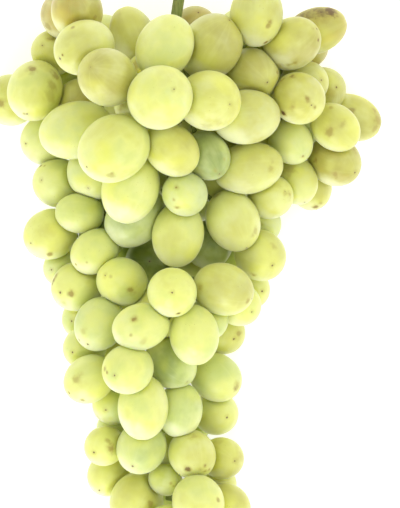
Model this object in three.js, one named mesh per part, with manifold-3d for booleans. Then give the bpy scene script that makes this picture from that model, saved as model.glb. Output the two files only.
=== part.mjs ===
// A cut bunch of white table grapes, lying on its back on a flat surface.
//
// Millimetres. +X is across the bunch, +Y runs from the tail to the cut end of the stem and
// +Z is up from the surface. The berries are grouped in sprays, each of them one solid, and
// one branching stem runs through the middle and ends just short of every berry.

import * as THREE from 'three';
import { mergeVertices } from 'three/addons/utils/BufferGeometryUtils.js';
import Module from 'manifold-3d';

// ---------- driving dimensions ----------

const ORIGIN = { x: -1.75, y: 2.29 }; // middle of the bunch's box in the frame of the lists below
const GAP = 0.3; // air between touching pieces
const PLUMPNESS = 1.2; // true length of a berry over its width, where it isn't seen longer
const SQUEEZE = 0.9; // centre distance of two pressed berries over the sum of their reaches
const FIRMNESS = 0.98; // how much of its reach the upper of two pressed berries keeps
const STEEPNESS = 1.6; // how soon a contact counts as one berry lying on another
const RISE_ROUNDS = 14; // steps in which the height of one berry on another is found
const LEAST_RISE = 0.3; // a smaller rise counts as none
const TOUCH = 0.01; // two berries this little too close count as touching
// The upper face is kept above an arch: its middle and half width, and its crown's heights.
const BED = { x: -5, halfWidth: 75, shoulder: 33, tail: 12 };
const BED_RUN = [-110, 60]; // the crown rises between these y, from tail to shoulder
const FLAT = 0.93; // height of a resting berry's centre over its half height
const FACET_SWELL = 1.035; // a faceted berry is swelled by this to keep its volume
const BERRY_DETAIL = 1; // how often the facets of an icosahedron are split for a berry
const WELD = 1e-4; // vertices this close are one

const HIDDEN_WIDTH = [20, 22.5]; // narrowest and widest berry of the hidden layers
const LAYERS = [10, 30, 50]; // nominal heights of the hidden layers
const LAYER_SLACK = 12; // how far above its layer a hidden berry may end
const SCAN_STEP = 3; // how finely the hidden layers are filled
const HEADING_FALL = -6; // hidden berries point this far down the bunch as they point outwards
const RING = 12; // points round a berry in which it is tested whether it is covered
const LATE_WIDTHS = [15, 13, 11, 9]; // the small late berries that close the gaps left open
const GAP_STEP = 1.5; // how finely the gaps are looked for
const GAP_REACH = 9; // a gap is closed where the bunch is whole this far round it
const STEM_ROOM = 1.8; // air kept between the main stem and the berries beside it
const GOLDEN = 0.6180339887; // steps of this share of a range never repeat

const SPRAY_SIZE = 6; // berries in a spray
const LEAST_SPRAY = 3; // a smaller spray joins a neighbour
const LARGEST_SPRAY = 8; // with no more berries than this in all
const SEAM = 0.7; // how far two fused berries run into each other past their flat
const FUSE = 0.95; // two berries may share a spray when they are at least this close

const PEDICEL_RADIUS = 0.65; // the little stem of one berry
const PEDICEL_GROWTH = 0.36; // how a branch thickens with the number of berries it carries
const ROOT_TAPER = 0.3; // a branch narrows to this where it is sunk in what it grows from
const CUP_RADIUS = 1.6; // the swollen end that holds the berry
const NECK = 2.2; // how far a little stem runs straight out of its berry
const FOOT_SWING = 80; // degrees by which a berry's foot may lie off its axis
const FOOT_TRIES = 120; // directions tried within that
const FOOT_SPAN = 2; // cells of the lattice that a foot may be from the one it starts in
const BRANCH_SIDES = 3; // a branch is a three-sided rod, to keep the stem light
const MAIN_SIDES = 6;
const GRID = 1.5; // cell of the lattice in which the branches find their way
const MARGIN = 3; // cells of the lattice beyond the outermost berries
const PROBE_STEP = 1; // how finely a way is tested and marked
const WIDE = 6; // room beyond this makes no difference to a branch
const STRAIT_COST = [0.6, 0.4]; // what a narrow way costs, over its room plus the second number
const OPEN_COST = 12; // how much longer a way inside the bunch may be than one over its berries
const TOP_BRANCH = 98; // y of the highest branch

const TAIL_GREEN = 0xc3d267; // the skins ripen from this
const SHOULDER_AMBER = 0xd3c665; // to this at the outer shoulders
const RIPENING_RUN = [-20, 90]; // the y between which they do so
const BARK_GREEN = 0x71873c;
const SKIN_ROUGHNESS = 0.42;
const BARK_ROUGHNESS = 0.6;

// Centre line of the main stem with its radius, from the cut end to the tail.
const MAIN_STEM = [
  // x, y, z, radius
  [4, 140, 36, 2.9],
  [-1, 122, 33, 2.3],
  [-3, 104, 30, 2.4],
  [-6, 84, 30, 2.3],
  [-6, 56, 28, 2.2],
  [-6, 28, 27, 2.1],
  [-6, 4, 25, 2.0],
  [-6, -22, 25, 1.9],
  [-6, -38, 18.5, 1.8],
  [-6, -62, 16.5, 1.7],
  [-6, -82, 14.5, 1.5],
  [-7.5, -99, 15, 1.3],
];

// The berries of the upper face and the outline, from the surface upwards: each one rests on
// the earlier ones that it overlaps in plan. The heading is where its tip points, in degrees
// from +X towards +Y. A berry seen shorter than its true length tips its far end up.
const UPPER = [
  // x, y, width, length in plan, heading
  [-34, 7.2, 17.5, 18.5, 200],
  [14, -31.3, 17, 18, 330],
  [-71, 62, 21, 22.5, 180],
  [-53.5, 81, 18, 19, 150],
  [-49, 96, 20, 20, 120],
  [-55.5, 46, 21, 23.5, 190],
  [-42.5, 60.5, 20.5, 21, 200],
  [3, 89, 20, 22, 80],
  [48, 83.5, 18, 18, 300],
  [66.3, 55, 18.6, 25, 340],
  [54.3, 66, 18.5, 19.6, 10],
  [49.5, 27.8, 17.6, 21, 285],
  [27.5, 50.5, 20, 20, 320],
  [-51.5, 28.5, 20, 21.5, 170],
  [29.5, 12, 17, 17, 330],
  [-49.5, -5.5, 16, 17, 190],
  [-41, -26, 18, 19, 190],
  [-41, -37.5, 17, 18, 200],
  [24.5, -14, 16.8, 18, 350],
  [20.5, -20, 17.6, 19, 330],
  [8.5, -26, 16, 17, 300],
  [-15, -3, 20, 20, 90],
  [8.6, 3.8, 19.6, 20, 60],
  [-28.5, -70, 15.6, 16, 200],
  [-31.5, -88.5, 17, 19, 240],
  [13, -92.5, 14, 14, 330],
  [-24, -112.5, 18, 21, 250],
  [8, -115, 19, 22, 290],
  [-17.4, -127.3, 16.5, 18, 250],
  [-4, -125.8, 18, 20.5, 275],
  [16, -101.5, 18.6, 20, 320],
  [-20.3, -99.3, 21.6, 24, 250],
  [-7.5, -110.8, 21, 23.5, 190],
  [-44, 97, 21, 23, 100],
  [-61, 65.5, 22.4, 25, 252],
  [51.5, 89.5, 18.6, 26.4, 20],
  [47, 68.5, 18.4, 20, 10],
  [59.2, 37.4, 20, 22.6, 330],
  [44, 29.5, 17, 20, 290],
  [-54.8, 8, 20.4, 22.6, 205],
  [29.3, -0.5, 20.4, 21.6, 320],
  [-44, -13, 20, 21.6, 200],
  [-33, -77, 16, 17, 210],
  [-29.5, -60, 17, 17.6, 220],
  [14, -82, 17, 18, 350],
  [11.5, -64, 17.8, 18.6, 340],
  [-41, 82.3, 22, 25, 205],
  [-21.3, 86.5, 18.6, 27, 112],
  [42, 84.2, 20.8, 24.4, 30],
  [59.3, 50.8, 18.4, 22, 320],
  [41.5, 45, 17.4, 19.4, 310],
  [44.6, 62.2, 21, 22, 330],
  [26, 71.9, 21, 22.4, 330],
  [27.7, 95.5, 21.4, 26, 85],
  [-31.6, 70.3, 23, 24.6, 150],
  [33.3, 22.8, 17.6, 19, 20],
  [24.5, 34.3, 20.8, 28.6, 10],
  [7.8, 39.3, 18.4, 21, 305],
  [-37, 1, 17.4, 21, 217],
  [-43, 16.3, 16.2, 20.2, 175],
  [-37, 33.5, 22.4, 24, 250],
  [-44.5, 49.6, 23, 30.4, 195],
  [-20.5, 15, 22, 28, 223],
  [14.5, -14, 21, 25, 342],
  [-39, -50, 19, 22, 215],
  [-35, -28, 20, 22.6, 240],
  [-18.3, -77.5, 20, 22, 245],
  [4.5, -99.5, 21, 23, 290],
  [2, -80.3, 19, 20.6, 300],
  [-3, -62.5, 18.6, 22.4, 262],
  [11.5, -49.5, 19.4, 22, 330],
  [-6.5, -43.5, 20, 23, 310],
  [9.5, 82.6, 24.4, 28.4, 55],
  [-8.9, 82.4, 22.6, 27.4, 62],
  [23.5, 54.7, 22, 28, 5],
  [18.4, 13.3, 21.6, 25.6, 296],
  [8.8, 61, 24.2, 26, 350],
  [-22.5, 26.2, 23, 29, 252],
  [-3.6, 7.8, 21, 26.6, 262],
  [-0.8, 24, 18, 18.6, 145],
  [-6, 41.5, 20, 24, 318],
  [-29, 42, 26.6, 30.4, 215],
  [-10.7, 62.1, 25.6, 26.6, 30],
  [-17.6, -61.3, 20.4, 26.6, 268],
  [-23.6, -46, 20, 21, 205],
  [-18.4, -29, 18.8, 23.6, 197],
  [2.9, -32.3, 20, 24.6, 275],
  [-26, -11, 19.4, 21, 160],
  [-5.9, -15.3, 20, 20, 90],
  [-8.7, -90.7, 12, 13.2, 340],
];

// ---------- berries ----------

const { clamp, lerp, degToRad, radToDeg, mapLinear, inverseLerp } = THREE.MathUtils;

function makeBerry(x, y, width, seen, heading, tilt = null) {
  const half = width / 2;
  const halfLong = Math.max(seen, width * PLUMPNESS) / 2;
  // foreshortening: seen² = (long · cos tilt)² + (width · sin tilt)²
  const flat = ((seen / 2) ** 2 - half ** 2) / (halfLong ** 2 - half ** 2);
  const rise = tilt ?? Math.acos(Math.sqrt(clamp(flat, 0, 1)));
  const axis = new THREE.Vector3(
    Math.cos(rise) * Math.cos(degToRad(heading)),
    Math.cos(rise) * Math.sin(degToRad(heading)),
    Math.sin(rise),
  );
  return { center: new THREE.Vector3(x, y, 0), half, halfLong, axis };
}

// Distance from a berry's centre to its skin along a unit direction.
function reach(berry, direction) {
  const along = direction.dot(berry.axis) ** 2;
  return 1 / Math.sqrt(along / berry.halfLong ** 2 + (1 - along) / berry.half ** 2);
}

const halfHeight = (berry) => {
  const along = berry.axis.z ** 2;
  return Math.sqrt(along * berry.halfLong ** 2 + (1 - along) * berry.half ** 2);
};

// How far one berry's centre must be above another's for the two to press together, or 0.
function riseOver(upper, lower) {
  const dx = upper.center.x - lower.center.x;
  const dy = upper.center.y - lower.center.y;
  const apart = Math.hypot(dx, dy);
  if (apart > SQUEEZE * (upper.halfLong + lower.halfLong)) return 0;
  const direction = new THREE.Vector3();
  let rise = upper.half;
  for (let round = 0; round < RISE_ROUNDS; round += 1) {
    direction.set(dx, dy, rise).normalize();
    const pressed = SQUEEZE * (reach(upper, direction) + reach(lower, direction));
    const next = pressed > apart ? Math.sqrt(pressed ** 2 - apart ** 2) : 0;
    rise = (rise + next) / 2;
  }
  return rise < LEAST_RISE ? 0 : rise;
}

// The least height of the upper face: an arch across the bunch that falls towards the tail.
function bedAt(x, y) {
  const high = mapLinear(y, ...BED_RUN, BED.tail, BED.shoulder);
  return Math.min(high, BED.shoulder) * (1 - ((x - BED.x) / BED.halfWidth) ** 2);
}

// Centre line of the main stem at a given y.
function stemAt(y) {
  const last = MAIN_STEM.length - 1;
  if (y >= MAIN_STEM[0][1]) return MAIN_STEM[0];
  if (y <= MAIN_STEM[last][1]) return MAIN_STEM[last];
  const next = MAIN_STEM.findIndex((point) => point[1] <= y);
  const [upper, lower] = [MAIN_STEM[next - 1], MAIN_STEM[next]];
  const share = (upper[1] - y) / (upper[1] - lower[1]);
  return upper.map((value, i) => lerp(value, lower[i], share));
}

// The heights that the main stem closes to a berry's centre: less than `off` from `stemZ`.
function closedByStem(berry) {
  const [stemX, , stemZ, radius] = stemAt(berry.center.y);
  const room = berry.half + radius + STEM_ROOM;
  const beyond = Math.max(0, MAIN_STEM.at(-1)[1] - berry.center.y);
  const aside = Math.min(room, Math.hypot(berry.center.x - stemX, beyond));
  return { stemZ, off: Math.sqrt(room ** 2 - aside ** 2) };
}

// Lays the berries of the upper face one after another, under the main stem or over it.
function pileUp(rows) {
  const berries = [];
  for (const row of rows) {
    const berry = makeBerry(...row);
    const resting = FLAT * halfHeight(berry);
    const { stemZ, off } = closedByStem(berry);
    let z = Math.max(resting, bedAt(berry.center.x, berry.center.y));
    if (Math.abs(z - stemZ) < off && stemZ - off > resting) z = stemZ - off;
    for (const other of berries) {
      const rise = riseOver(berry, other);
      if (rise > 0) z = Math.max(z, other.center.z + rise);
    }
    if (Math.abs(z - stemZ) < off - TOUCH) z = stemZ + off;
    berry.center.z = z;
    berries.push(berry);
  }
  return berries;
}

// Height of the highest berry's centre over a point of the plan, or -1 beside the bunch.
function roofOver(x, y, berries) {
  let roof = -1;
  for (const { center, axis, half, halfLong } of berries) {
    const level = Math.hypot(axis.x, axis.y) || 1;
    const along = ((x - center.x) * axis.x + (y - center.y) * axis.y) / level;
    const across = ((y - center.y) * axis.x - (x - center.x) * axis.y) / level;
    const seen = Math.hypot(halfLong * level, half * axis.z);
    if ((along / seen) ** 2 + (across / half) ** 2 < 1) roof = Math.max(roof, center.z);
  }
  return roof;
}

// A ring of points of the plan.
function ringAround(x, y, radius) {
  const angles = Array.from({ length: RING }, (_, i) => (i * 2 * Math.PI) / RING);
  return angles.map((angle) => [x + radius * Math.cos(angle), y + radius * Math.sin(angle)]);
}

// Whether a berry lies under higher ones all the way round.
function isUnder(berry, upperFace) {
  const { x, y, z } = berry.center;
  return ringAround(x, y, berry.halfLong)
    .every(([edgeX, edgeY]) => roofOver(edgeX, edgeY, upperFace) >= z);
}

// The lowest height from `from` up at which a berry clears every other one and the main stem.
function settle(berry, others, from) {
  const near = others.filter((other) => riseOver(berry, other) > 0);
  let z = from;
  for (let moved = true; moved; ) {
    moved = false;
    for (const other of near) {
      const rise = riseOver(berry, other);
      if (Math.abs(z - other.center.z) < rise - TOUCH) {
        z = other.center.z + rise;
        moved = true;
      }
    }
    const { stemZ, off } = closedByStem(berry);
    if (Math.abs(z - stemZ) < off - TOUCH) {
      z = stemZ + off;
      moved = true;
    }
  }
  return z;
}

// Visits the plan of the bunch point by point, from the cut end down.
function scanPlan(berries, step, visit) {
  const xs = berries.map((berry) => berry.center.x);
  const ys = berries.map((berry) => berry.center.y);
  for (let y = Math.max(...ys); y > Math.min(...ys); y -= step) {
    for (let x = Math.min(...xs); x < Math.max(...xs); x += step) visit(x, y);
  }
}

// A berry inside the bunch, pointing away from the main stem.
function makeHidden(x, y, width, height) {
  const [stemX, , stemZ] = stemAt(y);
  const heading = radToDeg(Math.atan2(HEADING_FALL, x - stemX));
  const tilt = Math.atan2(height - stemZ, Math.abs(x - stemX) + width / 2);
  return makeBerry(x, y, width, width * PLUMPNESS, heading, tilt);
}

// Fills the room under the upper face, layer by layer.
function fillBelow(upperFace) {
  const hidden = [];
  for (const layer of LAYERS) {
    const isLowest = layer === LAYERS[0];
    scanPlan(upperFace, SCAN_STEP, (x, y) => {
      const width = lerp(...HIDDEN_WIDTH, (hidden.length * GOLDEN) % 1);
      const berry = makeHidden(x, y, width, layer);
      const from = isLowest ? FLAT * halfHeight(berry) : layer;
      berry.center.z = settle(berry, [...upperFace, ...hidden], from);
      const fits = berry.center.z <= from + (isLowest ? 0 : LAYER_SLACK);
      if (fits && isUnder(berry, upperFace)) hidden.push(berry);
    });
  }
  return hidden;
}

// Grows small late berries in the gaps through which the surface below would show.
function fillGaps(upperFace, hidden) {
  const late = [];
  scanPlan(upperFace, GAP_STEP, (x, y) => {
    const grown = [...upperFace, ...hidden, ...late];
    const isOpen = ([px, py]) => roofOver(px, py, grown) < 0;
    if (!isOpen([x, y]) || ringAround(x, y, GAP_REACH).some(isOpen)) return;
    for (const width of LATE_WIDTHS) {
      const berry = makeHidden(x, y, width, stemAt(y)[2]);
      berry.center.z = settle(berry, grown, FLAT * halfHeight(berry));
      if (!isUnder(berry, upperFace)) continue;
      late.push(berry);
      return;
    }
  });
  return late;
}

// ---------- pressed shapes ----------

// Every pair that presses together gets a flat between them: the normal points at `other`.
function findContacts(berries) {
  for (const berry of berries) berry.contacts = [];
  const normal = new THREE.Vector3();
  berries.forEach((a, i) => {
    for (const b of berries.slice(i + 1)) {
      normal.subVectors(b.center, a.center);
      const apart = normal.length();
      if (apart > a.halfLong + b.halfLong + GAP) continue;
      normal.normalize();
      const [reachA, reachB] = [reach(a, normal), reach(b, normal)];
      if (apart > reachA * FACET_SWELL + reachB * FACET_SWELL + GAP) continue;
      const even = (apart * reachA) / (reachA + reachB);
      const firm = a.center.z > b.center.z ? FIRMNESS * reachA : apart - FIRMNESS * reachB;
      const steep = Math.min(1, Math.abs(normal.z) * STEEPNESS);
      const flat = apart < reachA + reachB ? lerp(even, firm, steep) : even;
      const close = apart / (reachA + reachB);
      a.contacts.push({ other: b, normal: normal.clone(), flat, close });
      b.contacts.push({ other: a, normal: normal.clone().negate(), flat: apart - flat, close });
    }
  });
}

// ---------- sprays ----------

const isNear = (contact) => contact.close < FUSE;

// Fuses two berries of one spray where they press together.
function fuse(contact) {
  contact.fused = true;
  contact.other.contacts.find((back) => back.other.contacts.includes(contact)).fused = true;
}

// Groups berries that press together, each spray growing outwards from its first berry.
function gatherSprays(berries) {
  const sprays = [];
  const free = new Set(berries);
  for (const seed of berries) {
    if (!free.has(seed)) continue;
    free.delete(seed);
    const spray = [seed];
    const fromSeed = ({ other }) => other.center.distanceTo(seed.center);
    while (spray.length < SPRAY_SIZE) {
      const next = spray
        .flatMap((berry) => berry.contacts)
        .filter((contact) => isNear(contact) && free.has(contact.other))
        .sort((a, b) => fromSeed(a) - fromSeed(b))[0];
      if (!next) break;
      fuse(next);
      free.delete(next.other);
      spray.push(next.other);
    }
    sprays.push(spray);
  }
  return sprays;
}

// A spray left with too few berries joins the smallest neighbour that it presses on.
function joinSmallSprays(sprays) {
  const kept = [...sprays];
  for (const spray of [...kept].sort((a, b) => a.length - b.length)) {
    if (spray.length >= LEAST_SPRAY) continue;
    const hostOf = ({ other }) => kept.find((host) => host !== spray && host.includes(other));
    const link = spray
      .flatMap((berry) => berry.contacts)
      .filter((contact) => isNear(contact) && hostOf(contact))
      .filter((contact) => hostOf(contact).length + spray.length <= LARGEST_SPRAY)
      .sort((a, b) => hostOf(a).length - hostOf(b).length)[0];
    if (!link) continue;
    hostOf(link).push(...spray);
    fuse(link);
    kept.splice(kept.indexOf(spray), 1);
  }
  return kept;
}

// ---------- solids ----------

const wasm = await Module();
wasm.setup();
const { Manifold, Mesh: SolidMesh } = wasm;

// A closed solid from a three.js geometry whose vertices are moved by `place`.
function toSolid(geometry, place) {
  geometry.deleteAttribute('normal');
  geometry.deleteAttribute('uv');
  const merged = mergeVertices(geometry, WELD);
  const { position } = merged.attributes;
  const vertex = new THREE.Vector3();
  for (let i = 0; i < position.count; i += 1) {
    vertex.fromBufferAttribute(position, i);
    place(vertex);
    position.setXYZ(i, vertex.x, vertex.y, vertex.z);
  }
  return new Manifold(new SolidMesh({
    numProp: 3,
    vertProperties: new Float32Array(position.array),
    triVerts: new Uint32Array(merged.index.array),
  }));
}

function toGeometry(solid) {
  const mesh = solid.getMesh();
  const geometry = new THREE.BufferGeometry();
  geometry.setAttribute('position', new THREE.BufferAttribute(mesh.vertProperties, 3));
  geometry.setIndex(new THREE.BufferAttribute(mesh.triVerts, 1));
  geometry.computeVertexNormals();
  return geometry;
}

// A turned icosahedron whose lowest facet is level, so that a resting berry gets a real flat.
const FACE_DOWN = new THREE.Quaternion().setFromUnitVectors(
  new THREE.Vector3(1, 1, 1).normalize(),
  new THREE.Vector3(0, 0, -1),
);

function berrySolid(berry) {
  return toSolid(new THREE.IcosahedronGeometry(1, BERRY_DETAIL), (vertex) => {
    const direction = vertex.applyQuaternion(FACE_DOWN).normalize();
    let radius = reach(berry, direction) * FACET_SWELL;
    for (const { normal, flat, fused } of berry.contacts) {
      const facing = direction.dot(normal);
      const face = flat + (fused ? SEAM : -GAP / 2);
      if (facing > 0) radius = Math.min(radius, face / facing);
    }
    if (direction.z < 0) radius = Math.min(radius, berry.center.z / -direction.z);
    vertex.multiplyScalar(radius).add(berry.center);
  });
}

const spraySolid = (spray) => Manifold.union(spray.map(berrySolid));

// ---------- stem ----------

// Free distance from a point to the surface below and to every berry but `own`.
function clearance(point, berries, own = null) {
  const toPoint = new THREE.Vector3();
  let least = Math.min(point.z, WIDE);
  for (const berry of berries) {
    if (berry === own) continue;
    toPoint.subVectors(point, berry.center);
    const apart = toPoint.length();
    if (apart > berry.halfLong * FACET_SWELL + least) continue;
    const skin = reach(berry, toPoint.normalize()) * FACET_SWELL;
    least = Math.min(least, apart - skin);
  }
  return least;
}

function isClear(from, to, radius, berries, own = null) {
  const steps = Math.ceil(from.distanceTo(to) / PROBE_STEP);
  const point = new THREE.Vector3();
  for (let i = 0; i <= steps; i += 1) {
    point.lerpVectors(from, to, i / steps);
    if (clearance(point, berries, own) < radius + GAP) return false;
  }
  return true;
}

// A lattice over the bunch that knows which of its cells a thin branch can pass.
class Lattice {
  constructor(berries) {
    const box = new THREE.Box3().setFromPoints(berries.map((berry) => berry.center));
    this.low = box.min.subScalar(GRID * MARGIN);
    this.low.z = PEDICEL_RADIUS + GAP;
    this.count = box.max.addScalar(GRID * MARGIN).sub(this.low).divideScalar(GRID).ceil();
    this.size = this.count.x * this.count.y * this.count.z;
    this.free = new Float32Array(this.size).fill(WIDE);
    const point = new THREE.Vector3();
    for (const berry of berries) {
      const span = Math.ceil((berry.halfLong + WIDE) / GRID);
      const middle = this.nearest(berry.center);
      this.eachAround(middle, span, (cell) => {
        this.place(cell, point).sub(berry.center);
        const apart = point.length();
        const room = apart - reach(berry, point.normalize()) * FACET_SWELL;
        if (room < this.free[cell]) this.free[cell] = room;
      });
    }
    this.roof = Array.from({ length: this.count.x * this.count.y }, (_, column) => {
      this.place(column, point);
      return roofOver(point.x, point.y, berries);
    });
  }

  nearest(point) {
    const { x, y, z } = point.clone().sub(this.low).divideScalar(GRID).round();
    const inside = (value, count) => clamp(value, 0, count - 1);
    return inside(x, this.count.x)
      + this.count.x * (inside(y, this.count.y) + this.count.y * inside(z, this.count.z));
  }

  place(cell, target) {
    const x = cell % this.count.x;
    const y = Math.floor(cell / this.count.x) % this.count.y;
    const z = Math.floor(cell / (this.count.x * this.count.y));
    return target.set(x, y, z).multiplyScalar(GRID).add(this.low);
  }

  eachAround(cell, span, visit) {
    const x = cell % this.count.x;
    const y = Math.floor(cell / this.count.x) % this.count.y;
    const z = Math.floor(cell / (this.count.x * this.count.y));
    for (let k = Math.max(0, z - span); k <= Math.min(this.count.z - 1, z + span); k += 1) {
      for (let j = Math.max(0, y - span); j <= Math.min(this.count.y - 1, y + span); j += 1) {
        for (let i = Math.max(0, x - span); i <= Math.min(this.count.x - 1, x + span); i += 1) {
          visit(i + this.count.x * (j + this.count.y * k), Math.hypot(i - x, j - y, k - z));
        }
      }
    }
  }

  reachableFrom(marked) {
    const found = new Set(marked.keys());
    const queue = [...found];
    for (const cell of queue) {
      this.eachAround(cell, 1, (next) => {
        if (found.has(next) || this.free[next] < PEDICEL_RADIUS + GAP) return;
        found.add(next);
        queue.push(next);
      });
    }
    return found;
  }

  // The cheapest way from a cell to any marked cell, as a list of cells, or null.
  route(start, marked) {
    const cost = new Map([[start, 0]]);
    const parent = new Map();
    const queue = [[0, start]];
    const done = new Set();
    const point = new THREE.Vector3();
    while (queue.length) {
      const [, cell] = popLeast(queue);
      if (done.has(cell)) continue;
      done.add(cell);
      if (marked.has(cell)) {
        const way = [cell];
        while (parent.has(way[0])) way.unshift(parent.get(way[0]));
        return way;
      }
      this.eachAround(cell, 1, (next, distance) => {
        const room = this.free[next] - PEDICEL_RADIUS - GAP;
        if (done.has(next) || (room < 0 && !marked.has(next))) return;
        const strait = STRAIT_COST[0] / (STRAIT_COST[1] + Math.max(room, 0));
        const open = this.place(next, point).z > this.roof[next % this.roof.length];
        const total = cost.get(cell) + distance * (1 + strait) * (open ? OPEN_COST : 1);
        if (total >= (cost.get(next) ?? Infinity)) return;
        cost.set(next, total);
        parent.set(next, cell);
        pushInOrder(queue, [total, next]);
      });
    }
    return null;
  }
}

// A binary heap of [cost, cell] pairs.
function pushInOrder(heap, item) {
  let i = heap.push(item) - 1;
  while (i > 0) {
    const up = (i - 1) >> 1;
    if (heap[up][0] <= heap[i][0]) break;
    [heap[up], heap[i]] = [heap[i], heap[up]];
    i = up;
  }
}

function popLeast(heap) {
  const least = heap[0];
  const last = heap.pop();
  if (heap.length) {
    heap[0] = last;
    for (let i = 0; ; ) {
      let low = i;
      for (const child of [2 * i + 1, 2 * i + 2]) {
        if (child < heap.length && heap[child][0] < heap[low][0]) low = child;
      }
      if (low === i) break;
      [heap[low], heap[i]] = [heap[i], heap[low]];
      i = low;
    }
  }
  return least;
}

// Pulls a line of points taut wherever the straight way is clear of every berry.
function pullTaut(points, berries) {
  const taut = [points[0]];
  let from = 0;
  while (from < points.length - 1) {
    let to = points.length - 1;
    while (to > from + 1 && !isClear(points[from], points[to], PEDICEL_RADIUS, berries)) {
      to -= 1;
    }
    taut.push(points[to]);
    from = to;
  }
  return taut;
}

// Adds the berries of a branch to what it grows from, all the way down to the main stem.
function carry({ branch, segment }, load) {
  if (!branch.load) return;
  for (let i = segment; i < branch.load.length; i += 1) branch.load[i] += load.at(-1);
}

// A rod along a line of points, with a radius at each.
function rod(points, radii, sides) {
  const last = points.length - 1;
  const along = points.map((point, i) => {
    const before = points[Math.max(0, i - 1)];
    return points[Math.min(last, i + 1)].clone().sub(before).normalize();
  });
  const turns = [new THREE.Quaternion().setFromUnitVectors(new THREE.Vector3(0, 1, 0), along[0])];
  for (let i = 1; i <= last; i += 1) {
    const bend = new THREE.Quaternion().setFromUnitVectors(along[i - 1], along[i]);
    turns.push(bend.multiply(turns[i - 1]));
  }
  return toSolid(new THREE.CylinderGeometry(1, 1, last, sides, last), (vertex) => {
    const i = Math.round(vertex.y + last / 2);
    vertex.setY(0).multiplyScalar(radii[i]).applyQuaternion(turns[i]).add(points[i]);
  });
}

// The thickness that a branch's load asks for, where its neighbours leave room for it.
function branchRadii({ points, load, berry }, berries) {
  const room = points.map((point, i) => {
    const next = points[Math.min(i + 1, points.length - 1)];
    const before = points[Math.max(i - 1, 0)];
    const spots = [before.clone().lerp(point, 0.5), point, point.clone().lerp(next, 0.5)];
    const own = i <= 1 ? berry : null; // the first two points are the foot and the neck
    return Math.min(...spots.map((spot) => clearance(spot, berries, own))) - GAP;
  });
  const radii = load.map((count, i) =>
    Math.max(PEDICEL_RADIUS, Math.min(PEDICEL_RADIUS * count ** PEDICEL_GROWTH, room[i])));
  const cupRoom = clearance(points[0], berries, berry) - GAP;
  radii[0] = clamp(cupRoom, PEDICEL_RADIUS, CUP_RADIUS);
  radii[radii.length - 1] *= ROOT_TAPER;
  return radii;
}

function stemSolid({ main, branches }, berries) {
  const rods = branches.map((branch) =>
    rod(branch.points, branchRadii(branch, berries), BRANCH_SIDES));
  return Manifold.union([rod(main.points, main.radii, MAIN_SIDES), ...rods]);
}

// Where a berry's little stem meets it: as near the end of its axis as its neighbours allow,
// and out of sight from above where it can.
function findFoot(berry, berries, lattice, reachable) {
  let inSight = null;
  const back = berry.axis.clone().negate();
  const turn = new THREE.Quaternion().setFromUnitVectors(new THREE.Vector3(0, 0, 1), back);
  const cell = new THREE.Vector3();
  for (let i = 0; i < FOOT_TRIES; i += 1) {
    const polar = degToRad(FOOT_SWING) * Math.sqrt(i / FOOT_TRIES);
    const around = i * 2 * Math.PI * GOLDEN;
    const out = new THREE.Vector3().setFromSphericalCoords(1, polar, around);
    out.set(out.x, out.z, out.y).applyQuaternion(turn);
    const onSkin = reach(berry, out) * FACET_SWELL + GAP;
    const skin = berry.center.clone().addScaledVector(out, onSkin);
    const neck = berry.center.clone().addScaledVector(out, onSkin + NECK);
    if (!isClear(skin, neck, PEDICEL_RADIUS, berries, berry)) continue;
    let start = null;
    let nearest = Infinity;
    lattice.eachAround(lattice.nearest(neck), FOOT_SPAN, (index) => {
      const away = lattice.place(index, cell).distanceTo(neck);
      if (away >= nearest || !reachable.has(index)) return;
      if (!isClear(neck, cell, PEDICEL_RADIUS, berries)) return;
      nearest = away;
      start = index;
    });
    if (start === null) continue;
    const foot = { skin, neck, start };
    if (neck.z <= roofOver(neck.x, neck.y, berries)) return foot;
    inSight ??= foot;
  }
  return inSight;
}

// Grows the branches one berry at a time, each from its berry to the nearest part of the stem.
function growBranches(berries) {
  const lattice = new Lattice(berries);
  const marked = new Map();
  const branches = [];
  const mark = (branch) => {
    for (let i = 1; i < branch.points.length; i += 1) {
      const [a, b] = [branch.points[i - 1], branch.points[i]];
      const steps = Math.ceil(a.distanceTo(b) / PROBE_STEP);
      for (let k = 0; k < steps; k += 1) {
        const point = a.clone().lerp(b, k / steps);
        lattice.eachAround(lattice.nearest(point), 1, (cell) => {
          if (!marked.has(cell)) marked.set(cell, { branch, segment: i, point });
        });
      }
    }
  };
  const main = {
    points: MAIN_STEM.map(([x, y, z]) => new THREE.Vector3(x, y, z)),
    radii: MAIN_STEM.map((point) => point[3]),
  };
  mark({ ...main, points: main.points.filter((point) => point.y < TOP_BRANCH) });
  const toStem = ({ center }) => {
    const [x, y, z] = stemAt(center.y);
    return center.distanceTo(new THREE.Vector3(x, y, z));
  };
  const reachable = lattice.reachableFrom(marked);
  for (const berry of [...berries].sort((a, b) => toStem(a) - toStem(b))) {
    const foot = findFoot(berry, berries, lattice, reachable);
    const way = foot && lattice.route(foot.start, marked);
    if (!way) continue;
    const host = marked.get(way.at(-1));
    const middle = way.slice(0, -1).map((cell) => lattice.place(cell, new THREE.Vector3()));
    const points = pullTaut([foot.neck, ...middle, host.point], berries);
    const branch = { points: [foot.skin, ...points], host, berry };
    branch.load = branch.points.map(() => 1);
    mark(branch);
    branches.push(branch);
  }
  for (const { host, load } of [...branches].reverse()) carry(host, load);
  return { main, branches };
}

// ---------- assembly ----------

const upperFace = pileUp(UPPER);
const hidden = fillBelow(upperFace);
const berries = [...upperFace, ...hidden, ...fillGaps(upperFace, hidden)];
findContacts(berries);
const sprays = joinSmallSprays(gatherSprays(berries));

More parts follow.
